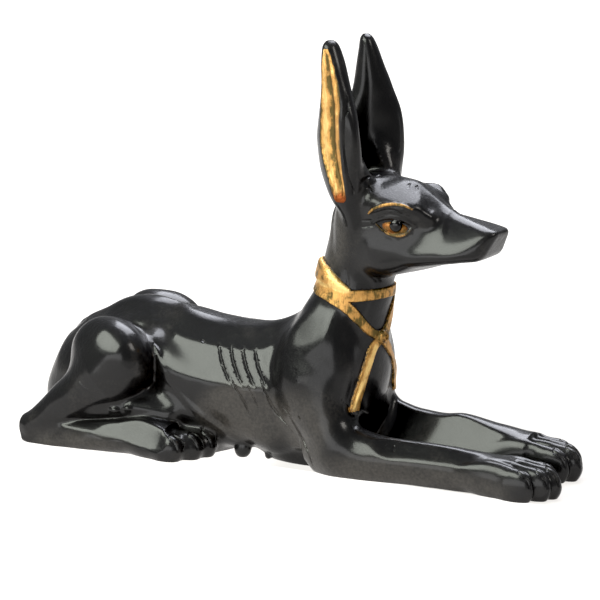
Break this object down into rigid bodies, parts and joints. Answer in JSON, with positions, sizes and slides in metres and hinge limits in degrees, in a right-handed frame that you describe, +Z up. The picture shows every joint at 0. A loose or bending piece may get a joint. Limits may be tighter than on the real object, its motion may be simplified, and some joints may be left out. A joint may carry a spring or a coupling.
{
  "type": "recumbent jackal figure",
  "caption": "Small cast resin jackal lying with its head raised and forelegs stretched out, black with gold ear linings and a knotted gold sash. Stands on its flat soles.",
  "frame": {"origin": "on the flat underside, on the figure's middle plane, half way between the hocks and the toe tips", "axes": "+X from the hocks to the toes, +Y to the figure's left, +Z up"},
  "size_m": [0.1202, 0.0423, 0.0866],
  "materials": {
    "painted_resin": "semi-gloss black paint on cast resin, with hand-brushed gold on the ear linings, sash, brows and eyes"
  },
  "bodies": {
    "root": {"jackal_figure": "painted_resin"}
  },
  "joints": []
}
